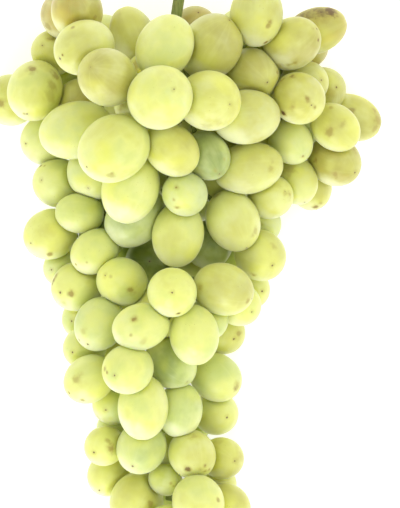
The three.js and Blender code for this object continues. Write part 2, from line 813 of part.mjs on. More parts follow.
// The skins ripen from green at the tail and the middle to amber at the outer shoulders.
function skinMaterial(spray) {
  const middle = new THREE.Vector3();
  for (const berry of spray) middle.addScaledVector(berry.center, 1 / spray.length);
  const outwards = Math.abs(middle.x - BED.x) / BED.halfWidth;
  const shoulder = clamp(inverseLerp(...RIPENING_RUN, middle.y), 0, 1);
  const amber = new THREE.Color(SHOULDER_AMBER);
  const color = new THREE.Color(TAIL_GREEN).lerp(amber, outwards * shoulder);
  return new THREE.MeshStandardMaterial({ color, roughness: SKIN_ROUGHNESS, metalness: 0 });
}

function namedMesh(name, solid, material) {
  const mesh = new THREE.Mesh(toGeometry(solid), material);
  mesh.name = name;
  return mesh;
}

const bunch = new THREE.Group();
bunch.position.set(-ORIGIN.x, -ORIGIN.y, 0);
sprays.forEach((spray, i) => {
  const name = `berries_${String(i + 1).padStart(2, '0')}`;
  bunch.add(namedMesh(name, spraySolid(spray), skinMaterial(spray)));
});
const bark = new THREE.MeshStandardMaterial({
  color: BARK_GREEN,
  roughness: BARK_ROUGHNESS,
  metalness: 0,
});
bunch.add(namedMesh('stem', stemSolid(growBranches(berries), berries), bark));

export default bunch;
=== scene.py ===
"""The looks of the bunch of white grapes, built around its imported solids.

Every faceted spray gets a fine piece of the same berries: pressed, translucent skins with
their bloom, russet and scars. The stem gets a rounded piece of the same branches. Lengths
are millimetres in the frame of the lists below, with +X across the bunch, +Y from the tail
to the cut end and +Z up, unless a name or a comment says metres. Blender is given metres.
"""

import math

import bmesh
import bpy
import numpy as np
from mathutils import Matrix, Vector, noise


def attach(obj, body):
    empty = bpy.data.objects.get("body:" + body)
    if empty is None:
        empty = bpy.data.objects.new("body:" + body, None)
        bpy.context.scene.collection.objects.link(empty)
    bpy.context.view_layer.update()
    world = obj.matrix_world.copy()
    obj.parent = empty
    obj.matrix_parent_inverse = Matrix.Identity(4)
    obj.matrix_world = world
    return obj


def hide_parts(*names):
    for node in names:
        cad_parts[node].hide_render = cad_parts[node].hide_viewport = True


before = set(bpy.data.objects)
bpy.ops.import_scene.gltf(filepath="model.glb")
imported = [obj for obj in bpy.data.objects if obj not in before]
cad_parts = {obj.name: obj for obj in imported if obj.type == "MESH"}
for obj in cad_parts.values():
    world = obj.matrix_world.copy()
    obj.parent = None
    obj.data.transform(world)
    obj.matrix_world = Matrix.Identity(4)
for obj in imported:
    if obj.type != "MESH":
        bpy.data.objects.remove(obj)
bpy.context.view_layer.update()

# ---------- the bunch, with the part's own dimensions ----------

ORIGIN = np.array([-1.75, 2.29, 0.0])  # middle of the bunch's box in the frame of the lists
MM = 0.001
GAP = 0.3  # air between the faceted solids
PLUMPNESS = 1.2  # true length of a berry over its width, where it isn't seen longer
SQUEEZE = 0.9  # centre distance of two pressed berries over the sum of their reaches
FIRMNESS = 0.98  # how much of its reach the upper of two pressed berries keeps
BED_X, BED_HALF_WIDTH, BED_SHOULDER, BED_TAIL = -5, 75, 33, 12
BED_Y = (-110, 60)  # the upper face falls from the shoulder's height to the tail's over this
FLAT = 0.93  # height of a resting berry's centre over its half height
FACET_SWELL = 1.035  # the faceted berries are swelled by this to keep their volume
HIDDEN_WIDTH = (20, 22.5)  # narrowest and widest berry of the hidden layers
LAYERS = (10, 30, 50)  # nominal heights of the hidden layers
LAYER_SLACK = 12  # how far above its layer a hidden berry may end
SCAN_STEP = 3  # how finely the hidden layers are filled
RING = 12  # points round a berry in which it is tested whether it is covered
LATE_WIDTHS = (15, 13, 11, 9)  # the small late berries that close the gaps left open
GAP_STEP = 1.5  # how finely the gaps are looked for
GAP_REACH = 9  # a gap is closed where the bunch is whole this far round it
STEM_ROOM = 1.8  # air kept between the main stem and the berries beside it
GOLDEN = 0.6180339887  # spreads the sizes and tints of berries evenly, with no random draw
RISE_ROUNDS = 14  # steps in which the height of one berry on another is found
LEAST_RISE = 0.3  # a smaller rise counts as none
TOUCH = 0.01  # two berries this little too close count as touching
STEEPNESS = 1.6  # how soon a contact counts as one berry lying on another
HEADING_FALL = -6  # hidden berries point this far down the bunch while they point outwards

# Centre line of the main stem with its radius, from the cut end to the tail.
MAIN_STEM = np.array([
    # x, y, z, radius
    (4, 140, 36, 2.9),
    (-1, 122, 33, 2.3),
    (-3, 104, 30, 2.4),
    (-6, 84, 30, 2.3),
    (-6, 56, 28, 2.2),
    (-6, 28, 27, 2.1),
    (-6, 4, 25, 2.0),
    (-6, -22, 25, 1.9),
    (-6, -38, 18.5, 1.8),
    (-6, -62, 16.5, 1.7),
    (-6, -82, 14.5, 1.5),
    (-7.5, -99, 15, 1.3),
])

# The berries of the upper face and the outline, from the surface upwards. The heading is
# where the tip points, in degrees from +X towards +Y. Ripeness runs from green at 0 to amber
# at 1, and bloom is how much of the whitish wax is left on the skin.
UPPER = [
    # x, y, width, length in plan, heading, ripeness, bloom
    (-34, 7.2, 17.5, 18.5, 200, 0.12, 0),
    (14, -31.3, 17, 18, 330, 0.5, 0.1),
    (-71, 62, 21, 22.5, 180, 0.5, 0.1),
    (-53.5, 81, 18, 19, 150, 0.6, 0.1),
    (-49, 96, 20, 20, 120, 0.94, 0.1),
    (-55.5, 46, 21, 23.5, 190, 0.4, 0.3),
    (-42.5, 60.5, 20.5, 21, 200, 0.75, 0.1),
    (3, 89, 20, 22, 80, 0.85, 0.1),
    (48, 83.5, 18, 18, 300, 0.9, 0),
    (66.3, 55, 18.6, 25, 340, 0.74, 0),
    (54.3, 66, 18.5, 19.6, 10, 0.65, 0.4),
    (49.5, 27.8, 17.6, 21, 285, 0.6, 0.1),
    (27.5, 50.5, 20, 20, 320, 0.5, 0.5),
    (-51.5, 28.5, 20, 21.5, 170, 0.35, 0.3),
    (29.5, 12, 17, 17, 330, 0.28, 0.8),
    (-49.5, -5.5, 16, 17, 190, 0.38, 1),
    (-41, -26, 18, 19, 190, 0.35, 0.3),
    (-41, -37.5, 17, 18, 200, 0.35, 0.3),
    (24.5, -14, 16.8, 18, 350, 0.45, 0.2),
    (20.5, -20, 17.6, 19, 330, 0.4, 0.2),
    (8.5, -26, 16, 17, 300, 0.22, 0.5),
    (-15, -3, 20, 20, 90, 0.03, 0),
    (8.6, 3.8, 19.6, 20, 60, 0.03, 0.5),
    (-28.5, -70, 15.6, 16, 200, 0.22, 0.3),
    (-31.5, -88.5, 17, 19, 240, 0.5, 0.1),
    (13, -92.5, 14, 14, 330, 0.5, 0.4),
    (-24, -112.5, 18, 21, 250, 0.4, 0.1),
    (8, -115, 19, 22, 290, 0.4, 0.1),
    (-17.4, -127.3, 16.5, 18, 250, 0.35, 0.1),
    (-4, -125.8, 18, 20.5, 275, 0.4, 0.1),
    (16, -101.5, 18.6, 20, 320, 0.6, 0.1),
    (-20.3, -99.3, 21.6, 24, 250, 0.52, 0.1),
    (-7.5, -110.8, 21, 23.5, 190, 0.35, 0.1),
    (-44, 97, 21, 23, 100, 0.86, 0),
    (-61, 65.5, 22.4, 25, 252, 0.42, 0),
    (51.5, 89.5, 18.6, 26.4, 20, 0.88, 0),
    (47, 68.5, 18.4, 20, 10, 0.7, 0.6),
    (59.2, 37.4, 20, 22.6, 330, 0.78, 0),
    (44, 29.5, 17, 20, 290, 0.5, 0.5),
    (-54.8, 8, 20.4, 22.6, 205, 0.48, 0.1),
    (29.3, -0.5, 20.4, 21.6, 320, 0.5, 0.3),
    (-44, -13, 20, 21.6, 200, 0.42, 0.2),
    (-33, -77, 16, 17, 210, 0.5, 0.1),
    (-29.5, -60, 17, 17.6, 220, 0.3, 0.3),
    (14, -82, 17, 18, 350, 0.62, 0.1),
    (11.5, -64, 17.8, 18.6, 340, 0.42, 0.2),
    (-41, 82.3, 22, 25, 205, 0.54, 0.3),
    (-21.3, 86.5, 18.6, 27, 112, 0.65, 0.2),
    (42, 84.2, 20.8, 24.4, 30, 0.72, 0),
    (59.3, 50.8, 18.4, 22, 320, 0.62, 0.1),
    (41.5, 45, 17.4, 19.4, 310, 0.32, 0.5),
    (44.6, 62.2, 21, 22, 330, 0.66, 0),
    (26, 71.9, 21, 22.4, 330, 0.7, 0.2),
    (27.7, 95.5, 21.4, 26, 85, 0.6, 0.4),
    (-31.6, 70.3, 23, 24.6, 150, 0.71, 0.1),
    (33.3, 22.8, 17.6, 19, 20, 0.5, 0.3),
    (24.5, 34.3, 20.8, 28.6, 10, 0.56, 0.4),
    (7.8, 39.3, 18.4, 21, 305, 0.06, 0.2),
    (-37, 1, 17.4, 21, 217, 0.3, 0.1),
    (-43, 16.3, 16.2, 20.2, 175, 0.3, 0.2),
    (-37, 33.5, 22.4, 24, 250, 0.3, 0.5),
    (-44.5, 49.6, 23, 30.4, 195, 0.36, 0.5),
    (-20.5, 15, 22, 28, 223, 0.12, 0.6),
    (14.5, -14, 21, 25, 342, 0.6, 0.4),
    (-39, -50, 19, 22, 215, 0.42, 0.2),
    (-35, -28, 20, 22.6, 240, 0.26, 0.5),
    (-18.3, -77.5, 20, 22, 245, 0.2, 0.4),
    (4.5, -99.5, 21, 23, 290, 0.42, 0.2),
    (2, -80.3, 19, 20.6, 300, 0.5, 0.1),
    (-3, -62.5, 18.6, 22.4, 262, 0.22, 0.2),
    (11.5, -49.5, 19.4, 22, 330, 0.32, 0.3),
    # painted shade: the low ripeness of this berry darkens it for the shade that the berries round
    # it cast
    (-6.5, -43.5, 20, 23, 310, 0.12, 0.1),
    (9.5, 82.6, 24.4, 28.4, 55, 0.68, 0.1),
    (-8.9, 82.4, 22.6, 27.4, 62, 0.42, 0.3),
    (23.5, 54.7, 22, 28, 5, 0.62, 0.5),
    (18.4, 13.3, 21.6, 25.6, 296, 0.5, 0.25),
    (8.8, 61, 24.2, 26, 350, 0.55, 0),
    (-22.5, 26.2, 23, 29, 252, 0.38, 0),
    (-3.6, 7.8, 21, 26.6, 262, 0.4, 0.1),
    (-0.8, 24, 18, 18.6, 145, 0.2, 0.7),
    (-6, 41.5, 20, 24, 318, 0.64, 0.1),
    (-29, 42, 26.6, 30.4, 215, 0.4, 0),
    (-10.7, 62.1, 25.6, 26.6, 30, 0.4, 0.25),
    (-17.6, -61.3, 20.4, 26.6, 268, 0.38, 0.1),
    (-23.6, -46, 20, 21, 205, 0.35, 0.1),
    (-18.4, -29, 18.8, 23.6, 197, 0.3, 0.2),
    (2.9, -32.3, 20, 24.6, 275, 0.35, 0.1),
    (-26, -11, 19.4, 21, 160, 0.3, 0.2),
    (-5.9, -15.3, 20, 20, 90, 0.4, 0),
    (-8.7, -90.7, 12, 13.2, 340, 0.2, 0.7),
]

HIDDEN_RIPENESS = (0.15, 0.5)
HIDDEN_BLOOM = (0, 0.2)
BLOOM_TURNS = 7  # the bloom of the hidden berries runs through its range this often
SEED_RANGE = 50  # how far apart the berries lie in the noise that their skins are drawn with
HIDDEN_SWELL = 1.07  # hidden berries are this much fuller, so that no light shows between them
DEEPEST = 2  # so are this many of the first of the upper face, which lie deep in it
SMALLEST = 1  # and this many of its last, which are small and close a gap

# Russet and bruises on the upper face, and at the end two marks of painted shade: each one marks
# the berry seen there from above. A deep mark is a dark scab, and a faint one only browns the
# skin.
MARKS = [
    # x, y, radius, depth
    (-57.5, 97, 3.2, 0.5), (-56, 91.5, 2.4, 0.6), (-54.2, 87.2, 1.8, 0.65), (-52.5, 99, 2, 0.4),
    (-37, 98, 3.4, 0.4), (-36.5, 94.6, 1.4, 0.6), (-45.6, 90.2, 0.9, 0.6), (-41.2, 93.4, 0.7, 0.6),
    (-46.8, 86, 2.2, 0.25), (-49.6, 79.2, 0.6, 0.8), (-35.4, 81.6, 0.9, 0.6),
    (-33.6, 81.8, 0.6, 0.5), (-15.6, 95.6, 1.7, 0.8), (-14, 94, 1.2, 0.6), (-27, 96.5, 1.6, 0.3),
    (-62, 74, 1.7, 0.7), (-52.6, 71.6, 2, 0.55), (-54, 67.5, 1.8, 0.4), (-54.2, 63.8, 2.6, 0.35),
    (-65.3, 56, 0.6, 0.5), (-74.6, 60.4, 1.6, 0.65), (-58.9, 35.4, 0.9, 0.85),
    (-57.2, 35.5, 0.7, 0.7), (-30, 31, 1.5, 0.45), (-29.6, 31.9, 0.7, 0.5),
    (-55.3, -0.3, 1.2, 0.7), (-55.8, 9.2, 2.4, 0.25), (-52.6, -8.6, 1.1, 0.65),
    (-53.6, -10.4, 1.1, 0.75), (-54.2, -12, 0.7, 0.8), (-45.9, -15.8, 1.5, 0.7),
    (-49.2, -20, 1.2, 0.35), (-50, -29.3, 0.8, 0.6), (-41.6, -30.8, 1.4, 0.35),
    (-43.2, -34.5, 0.6, 0.5), (-22.3, -14.5, 1.7, 0.6), (-30.5, -9, 0.6, 0.4),
    (-44.5, -4.2, 0.5, 0.6), (-40.1, -3.3, 0.5, 0.5), (-21.1, -26, 1.2, 0.75),
    (-17.8, -35, 1.5, 0.35), (-22.4, -32.3, 0.6, 0.5), (-43.8, -50, 2, 0.5),
    (-41.7, -58.6, 0.8, 0.6), (-47.4, -55.4, 0.6, 0.6), (-32.8, -46, 0.9, 0.6),
    (-32, -47.2, 0.7, 0.7), (-30.6, -78, 2, 0.65), (-32, -74.6, 1, 0.5), (-14.6, -99.6, 1.6, 0.6),
    (-35.7, -65.7, 1.2, 0.45), (0.2, -86.2, 1.3, 0.85), (7.3, -84.7, 0.8, 0.7),
    (7.4, -87.4, 1, 0.75), (9, -86.3, 0.8, 0.65), (2.6, -72.6, 1.6, 0.45),
    (20, -53.4, 1.6, 0.55), (20.2, -56, 0.7, 0.6), (22, -82, 2.4, 0.4), (12, -75.5, 2, 0.35),
    (12.6, -98.4, 0.9, 0.6), (-3.3, -23.7, 1, 1), (-6.5, -92, 0.6, 0.5), (-5.2, -93, 0.5, 0.5),
    (20.8, -32.3, 1.7, 0.6), (24.4, -18.8, 1, 0.6), (5, -13, 1.5, 0.5), (26.5, -8.5, 1.2, 0.6),
    (34.6, 3.2, 1.4, 0.4), (-4.1, 26.5, 0.6, 0.6), (-5.2, 21.5, 0.6, 0.5), (-4, 18.3, 1, 0.65),
    (-2, 45, 2.4, 0.2), (11.4, 33, 1, 0.45), (15, 38, 0.6, 0.4), (4, 32.5, 2, 0.3),
    (11.5, 23.6, 1.9, 0.5), (27.6, 9, 1.5, 0.45), (26.3, 7.2, 0.9, 0.4), (20, 42, 2.2, 0.35),
    (34, 34.2, 1.3, 0.45), (34.2, 36.8, 0.9, 0.35), (12.4, 51.6, 2, 0.35), (8, 50.6, 2, 0.35),
    (33, 92.6, 1.3, 0.65), (32.4, 90.9, 0.9, 0.6), (31.6, 84.3, 1, 0.8), (33.4, 85.2, 0.8, 0.7),
    (50.5, 90, 0.8, 0.6), (52.5, 89.2, 0.6, 0.6), (52.5, 85.5, 1, 0.85), (43.4, 76.3, 1.5, 0.65),
    (40.6, 75.4, 1.1, 0.5), (37.2, 75.2, 1.2, 0.5), (44, 95.5, 3.6, 1), (47.4, 95.8, 4, 1),
    (50.8, 96.6, 4.2, 1), (54.2, 97.3, 4, 1), (57.6, 97.6, 3.6, 0.9), (52, 93.6, 3.4, 0.4),
    (51.5, 79, 1.6, 0.4), (57, 64.5, 2.2, 0.45), (36.2, 72.2, 1.1, 0.7), (42, 71, 1.4, 0.75),
    (37.6, 69.4, 1.4, 0.6), (48, 61.8, 1.3, 0.7), (42, 58.8, 1.4, 0.55), (38.4, 56.2, 1.4, 0.95),
    (51.1, 58.5, 0.7, 0.7), (66.2, 57.4, 1.5, 0.6), (75.8, 57.8, 1.4, 0.6), (77, 54, 2.2, 0.55),
    (75.6, 50.6, 1.7, 0.5), (57, 49, 1.9, 0.6), (62.6, 52, 1.4, 0.45), (57.4, 58.8, 0.9, 0.5),
    (52.4, 42.6, 2.4, 0.5), (51.6, 37.6, 1.5, 0.75), (54, 35.8, 2, 0.35), (59.4, 31.6, 1.5, 0.65),
    (67, 42, 1.5, 0.6), (68, 30.5, 0.8, 0.5), (51.6, 18.8, 1.3, 0.8), (54, 20.4, 1.2, 0.7),
    (41.4, 33.6, 2.2, 0.45), (41.2, 23.6, 1.4, 0.55), (39.5, 24, 1, 0.35), (46.6, 38.8, 0.6, 0.5),
    # painted shade: these two darken the skin in two crevices that lie in shade
    (-20.6, 76, 3, 0.5), (-27.6, 58.4, 2.6, 0.5),
]
MARKS_PER_BERRY = "abcdef"  # one attribute for each mark that a berry can carry
NO_MARK = (np.full(3, np.inf), 1, 0)  # middle, radius and depth
FAR_OFF = 9.0  # the distance from a mark is kept up to this many of its radii

# ---------- how the fine pieces are made ----------

SKIN_DETAIL = 5  # subdivisions of the icosphere that each berry is made from
SKIN_GAP = 0.02  # air between two pressed skins, to each side of their flat
PRESS_ROUND = 0.8  # how softly a flat runs out into the round of the berry
LEAST_FACING = 0.05  # a flat is only looked for on the side that faces it
WOBBLE = 0.008  # unevenness of a berry's form, as a share of its reach
WOBBLE_WAVES = 4
WOBBLE_PACE = 2  # about how many radians a wave turns through over a berry's radius
GRAIN_SIDE = (0.3, 0.2, 1.0)  # a direction that no berry's axis has
GRAIN_CORE = 0.5  # the veins don't crowd together closer to the axis than this
TIP_DENT = (0.16, 1.3)  # depth and radius of the dent round the scar at the tip
FOOT_DENT = (0.7, 2.2)  # depth and radius of the hollow that the little stem sits in
PAINTED_LIGHT_SIDE = np.array([-0.35, -0.93, -0.1])  # the side that the key light falls on, where the skin is painted paler as painted light

STEM_SWELL = 0.22  # the faceted branches are swelled by this before they are rounded
STEM_VOXEL = 0.42  # side of the faces that the rounded stem is made of
STEM_SMOOTHING = 6  # rounds of smoothing
CUP_SINK = 0.35  # how deep a little stem's swollen end sits in its berry
CAP_MATCH = 0.05  # a point this close to a berry's faceted skin counts as on it
MERGE_WITHIN = 0.001  # points closer together than this become one
RIDGE_HEIGHT = 0.12
RIDGES_PER_MM = (0.35, 0.35 / 3, 0.35)  # the bark's ridges run along the bunch
RIDGE_NOISE = (1, 2, 3)  # roughness, step in pace and number of octaves

# ---------- berries ----------


class Berry:
    """One berry: an ellipsoid that is longer along its axis, which points at its tip."""

    def __init__(self, x, y, width, seen, heading, ripeness, bloom, tilt=None):
        self.half = width / 2
        self.half_long = max(seen, width * PLUMPNESS) / 2
        spread = self.half_long ** 2 - self.half ** 2
        level = min(1, max(0, ((seen / 2) ** 2 - self.half ** 2) / spread))
        rise = math.acos(math.sqrt(level)) if tilt is None else tilt
        turn = math.radians(heading)
        self.axis = np.array([
            math.cos(rise) * math.cos(turn),
            math.cos(rise) * math.sin(turn),
            math.sin(rise),
        ])
        self.center = np.array([x, y, 0.0])
        self.ripeness = ripeness
        self.bloom = bloom
        self.contacts = []

    def reach(self, directions):
        """Distance from the centre to the skin along each unit direction."""
        along = (directions @ self.axis) ** 2
        return 1 / np.sqrt(along / self.half_long ** 2 + (1 - along) / self.half ** 2)

    def half_height(self):
        along = self.axis[2] ** 2
        return math.sqrt(along * self.half_long ** 2 + (1 - along) * self.half ** 2)


class Pile:
    """Berries that lie already, as arrays, so that a new one is tried against all at once."""

    def __init__(self, berries=()):
        self.berries = []
        self.rows = np.zeros((0, 8))
        for berry in berries:
            self.add(berry)

    def add(self, berry):
        self.berries.append(berry)
        row = [*berry.center, berry.half, berry.half_long, *berry.axis]
        self.rows = np.vstack([self.rows, row])

    def rises_under(self, berry):
        """Heights of the berries close by, and how far above or below each `berry` must be."""
        offset = berry.center[:2] - self.rows[:, :2]
        apart = np.hypot(offset[:, 0], offset[:, 1])
        near = apart <= SQUEEZE * (berry.half_long + self.rows[:, 4])
        rows, offset, apart = self.rows[near], offset[near], apart[near]
        rise = np.full(len(rows), berry.half)
        for _ in range(RISE_ROUNDS):
            direction = np.column_stack([offset, rise])
            direction /= np.linalg.norm(direction, axis=1)[:, None]
            along = np.einsum("ij,ij->i", direction, rows[:, 5:8]) ** 2
            reach = 1 / np.sqrt(along / rows[:, 4] ** 2 + (1 - along) / rows[:, 3] ** 2)
            pressed = SQUEEZE * (berry.reach(direction) + reach)
            rise = (rise + np.sqrt(np.clip(pressed ** 2 - apart ** 2, 0, None))) / 2
        pressing = rise >= LEAST_RISE
        return rows[pressing, 2], rise[pressing]

    def covers(self, x, y, z):
        """Whether a point of the plan lies under a berry that is higher than z."""
        center_x, center_y, center_z, half, half_long, axis_x, axis_y, axis_z = self.rows.T
        level = np.hypot(axis_x, axis_y)
        level[level == 0] = 1
        dx, dy = x - center_x, y - center_y
        along = (dx * axis_x + dy * axis_y) / level
        across = (dy * axis_x - dx * axis_y) / level
        seen = np.hypot(half_long * level, half * axis_z)
        inside = (along / seen) ** 2 + (across / half) ** 2 < 1
        return bool(np.any(inside & (center_z >= z)))


def bed_at(x, y):
    """The least height of the upper face: an arch that falls towards the tail."""
    share = (y - BED_Y[0]) / (BED_Y[1] - BED_Y[0])
    high = min(BED_TAIL + share * (BED_SHOULDER - BED_TAIL), BED_SHOULDER)
    return high * (1 - ((x - BED_X) / BED_HALF_WIDTH) ** 2)


def stem_at(y):
    """x, z and radius of the main stem at a given y."""
    ascending = MAIN_STEM[::-1]
    return [np.interp(y, ascending[:, 1], ascending[:, column]) for column in (0, 2, 3)]


def closed_by_stem(berry):
    """The main stem's height and how close to it in height the berry's centre can't be."""
    stem_x, stem_z, radius = stem_at(berry.center[1])
    room = berry.half + radius + STEM_ROOM
    beyond = max(0, MAIN_STEM[-1][1] - berry.center[1])
    aside = min(room, math.hypot(berry.center[0] - stem_x, beyond))
    return stem_z, math.sqrt(room ** 2 - aside ** 2)


def pile_up(rows):
    """Lays the berries of the upper face one after another, clear of the main stem."""
    pile = Pile()
    for row in rows:
        berry = Berry(*row)
        resting = FLAT * berry.half_height()
        stem_z, off = closed_by_stem(berry)
        z = max(resting, bed_at(*berry.center[:2]))
        if abs(z - stem_z) < off and stem_z - off > resting:
            z = stem_z - off
        heights, rises = pile.rises_under(berry)
        z = max([z, *(heights + rises)])
        if abs(z - stem_z) < off - TOUCH:
            z = stem_z + off
        berry.center[2] = z
        pile.add(berry)
    return pile


def settle(berry, pile, start):
    """The lowest height from `start` up that clears every other berry and the main stem."""
    heights, rises = pile.rises_under(berry)
    stem_z, off = closed_by_stem(berry)
    z = start
    while True:
        blocked = np.abs(z - heights) < rises - TOUCH
        if blocked.any():
            z = (heights + rises)[blocked].max()
        elif abs(z - stem_z) < off - TOUCH:
            z = stem_z + off
        else:
            return z


def scan_plan(upper_face, step):
    """The plan of the bunch, point by point, from the cut end down."""
    low, high = upper_face.rows.min(0), upper_face.rows.max(0)
    y = high[1]
    while y > low[1]:
        x = low[0]
        while x < high[0]:
            yield x, y
            x += step
        y -= step


def hidden_berry(x, y, width, height, share):
    """A berry inside the bunch, pointing away from the main stem."""
    stem_x, stem_z, _ = stem_at(y)
    heading = math.degrees(math.atan2(HEADING_FALL, x - stem_x))
    tilt = math.atan2(height - stem_z, abs(x - stem_x) + width / 2)
    ripeness = np.interp(share, (0, 1), HIDDEN_RIPENESS)
    bloom = np.interp(share * BLOOM_TURNS % 1, (0, 1), HIDDEN_BLOOM)
    return Berry(x, y, width, width * PLUMPNESS, heading, ripeness, bloom, tilt)


def ring_around(x, y, radius):
    angles = [i * 2 * math.pi / RING for i in range(RING)]
    return [(x + radius * math.cos(angle), y + radius * math.sin(angle)) for angle in angles]


def is_under(upper_face, berry, z):
    """Whether a berry lies under higher ones all the way round."""
    rim = ring_around(*berry.center[:2], berry.half_long)
    return all(upper_face.covers(x, y, z) for x, y in rim)


def fill_below(upper_face):
    """Fills the room under the upper face, layer by layer."""
    pile = Pile(upper_face.berries)
    for layer in LAYERS:
        on_floor = layer == LAYERS[0]
        for x, y in scan_plan(upper_face, SCAN_STEP):
            share = (len(pile.berries) - len(upper_face.berries)) * GOLDEN % 1
            width = (1 - share) * HIDDEN_WIDTH[0] + share * HIDDEN_WIDTH[1]
            berry = hidden_berry(x, y, width, layer, share)
            start = FLAT * berry.half_height() if on_floor else layer
            if not is_under(upper_face, berry, start):
                continue
            z = settle(berry, pile, start)
            slack = 0 if on_floor else LAYER_SLACK
            if z <= start + slack and is_under(upper_face, berry, z):
                berry.center[2] = z
                pile.add(berry)
    return pile


def fill_gaps(upper_face, pile):
    """Grows small late berries in the gaps through which the surface below would show."""
    for x, y in scan_plan(upper_face, GAP_STEP):
        if pile.covers(x, y, 0):
            continue
        if not all(pile.covers(*point, 0) for point in ring_around(x, y, GAP_REACH)):
            continue
        for width in LATE_WIDTHS:
            berry = hidden_berry(x, y, width, stem_at(y)[1], 0)
            z = settle(berry, pile, FLAT * berry.half_height())
            if is_under(upper_face, berry, z):
                berry.center[2] = z
                pile.add(berry)
                break


def find_contacts(berries):
    """Every pair that presses together gets a flat between them."""
    for i, a in enumerate(berries):
        for b in berries[i + 1:]:
            apart = np.linalg.norm(b.center - a.center)
            if apart > a.half_long + b.half_long + GAP:
                continue
            normal = (b.center - a.center) / apart
            reach_a, reach_b = a.reach(normal), b.reach(normal)
            if apart > FACET_SWELL * (reach_a + reach_b) + GAP:
                continue
            flat = apart * reach_a / (reach_a + reach_b)
            if apart < reach_a + reach_b:
                a_lies_on_b = a.center[2] > b.center[2]
                firm = FIRMNESS * reach_a if a_lies_on_b else apart - FIRMNESS * reach_b
                steep = min(1, abs(normal[2]) * STEEPNESS)
                flat += (firm - flat) * steep
            a.contacts.append((normal, flat))
            b.contacts.append((-normal, apart - flat))


# ---------- skins ----------


def soft_min(a, b, width):
    """The smaller of two, run into each other over `width`, and never above either."""
    blend = np.clip(1 - np.abs(a - b) / width, 0, 1)
    return np.minimum(a, b) - blend ** 2 * width / 4


def dent(points, middle, depth, radius):
    away = np.linalg.norm(points - middle, axis=1)
    return depth * np.exp(-(away / radius) ** 2)


def skin_of(berry, directions, rng):
    """The points of a berry's skin, pressed flat where it touches others and the floor."""
    uneven = np.zeros(len(directions))
    for _ in range(WOBBLE_WAVES):
        wave = rng.normal(size=3) * WOBBLE_PACE
        uneven += np.sin(directions @ wave + rng.uniform(0, 2 * math.pi))
    reach = berry.reach(directions) * (1 - WOBBLE * (1 + uneven / WOBBLE_WAVES))
    round_points = directions * reach[:, None]
    reach -= dent(round_points, berry.tip, *TIP_DENT)
    reach -= dent(round_points, berry.foot, *FOOT_DENT)
    for normal, flat in [*berry.contacts, (np.array([0, 0, -1.0]), berry.center[2])]:
        facing = directions @ normal
        ahead = facing > LEAST_FACING
        face = (flat - SKIN_GAP) / facing[ahead]
        reach[ahead] = soft_min(reach[ahead], face, PRESS_ROUND)
    return directions * reach[:, None]


def set_attribute(mesh, name, values):
    """Keeps a number or a vector for each point of a mesh."""
    kind, slot = ("FLOAT", "value") if values.ndim == 1 else ("FLOAT_VECTOR", "vector")
    attribute = mesh.attributes.new(name, kind, "POINT")
    attribute.data.foreach_set(slot, np.ascontiguousarray(values, np.float32).ravel())


def make_piece(name, points, faces, material, replaced):
    """A smooth mesh object that rides on the part and stands for one of its solids."""
    mesh = bpy.data.meshes.new(name)
    mesh.from_pydata((points - ORIGIN) * MM, [], faces)
    mesh.materials.append(material)
    mesh.shade_smooth()
    piece = bpy.data.objects.new(name, mesh)
    bpy.context.scene.collection.objects.link(piece)
    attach(piece, "root")
    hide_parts(replaced)
    return piece


def unit_sphere():
    sphere = bmesh.new()
    bmesh.ops.create_icosphere(sphere, subdivisions=SKIN_DETAIL, radius=1)
    directions = np.array([vert.co for vert in sphere.verts])
    faces = np.array([[vert.index for vert in face.verts] for face in sphere.faces])
    sphere.free()
    return directions / np.linalg.norm(directions, axis=1)[:, None], faces


def berry_grain(berry, points):
    """Coordinates in which the fine veins of the skin run from foot to tip."""
    side = np.cross(berry.axis, GRAIN_SIDE)
    side /= np.linalg.norm(side)
    other = np.cross(berry.axis, side)
    across = np.column_stack([points @ side, points @ other])
    around = across / np.maximum(np.linalg.norm(across, axis=1), GRAIN_CORE)[:, None]
    return np.column_stack([around * berry.half, points @ berry.axis])


def skin_attributes(berry, skin, directions):
    """What the shader has to know at each point of a berry's skin."""
    told = {
        "tip": skin - berry.tip,
        "foot": skin - berry.foot,
        "grain": berry_grain(berry, skin),
        # painted light: how far each point of the skin faces the key light's side, which is
        # painted paler
        "painted_light_side": directions @ PAINTED_LIGHT_SIDE,
    }
    for name in ("ripeness", "bloom", "seed"):
        told[name] = np.full(len(skin), getattr(berry, name))
    marks = berry.marks + [NO_MARK] * len(MARKS_PER_BERRY)
    for letter, (middle, radius, depth) in zip(MARKS_PER_BERRY, marks):
        offset = (skin + berry.center - middle) / radius
        told["mark_" + letter] = np.clip(offset, -FAR_OFF, FAR_OFF)
        told["depth_" + letter] = np.full(len(skin), depth)
    return told


def make_spray(name, node, berries, sphere, material):
    """One fine piece for the berries of one faceted spray."""
    directions, triangles = sphere
    points, faces, told = [], [], []
    for berry in berries:
        skin = skin_of(berry, directions, np.random.default_rng(berry.index))
        faces.append(triangles + len(skin) * len(points))
        points.append(skin + berry.center)
        told.append(skin_attributes(berry, skin, directions))
    piece = make_piece(name, np.vstack(points), np.vstack(faces), material, node)
    for attribute in told[0]:
        values = np.concatenate([of_berry[attribute] for of_berry in told])
        set_attribute(piece.data, attribute, values)


# ---------- where the pieces belong ----------


def node_points(name):
    """The vertices of a faceted solid, each once, in the frame of the lists."""
    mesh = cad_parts[name].data
    points = np.zeros(len(mesh.vertices) * 3)
    mesh.vertices.foreach_get("co", points)
    return np.unique(np.round(points.reshape(-1, 3) / MM + ORIGIN, 3), axis=0)


def on_faceted_skin(berry, points, gap=0):
    """Which of the points lie on a berry's faceted skin, or this far outside it."""
    offset = points - berry.center
    apart = np.linalg.norm(offset, axis=1)
    faceted = FACET_SWELL * berry.reach(offset / apart[:, None])
    return np.abs(apart - faceted - gap) < CAP_MATCH


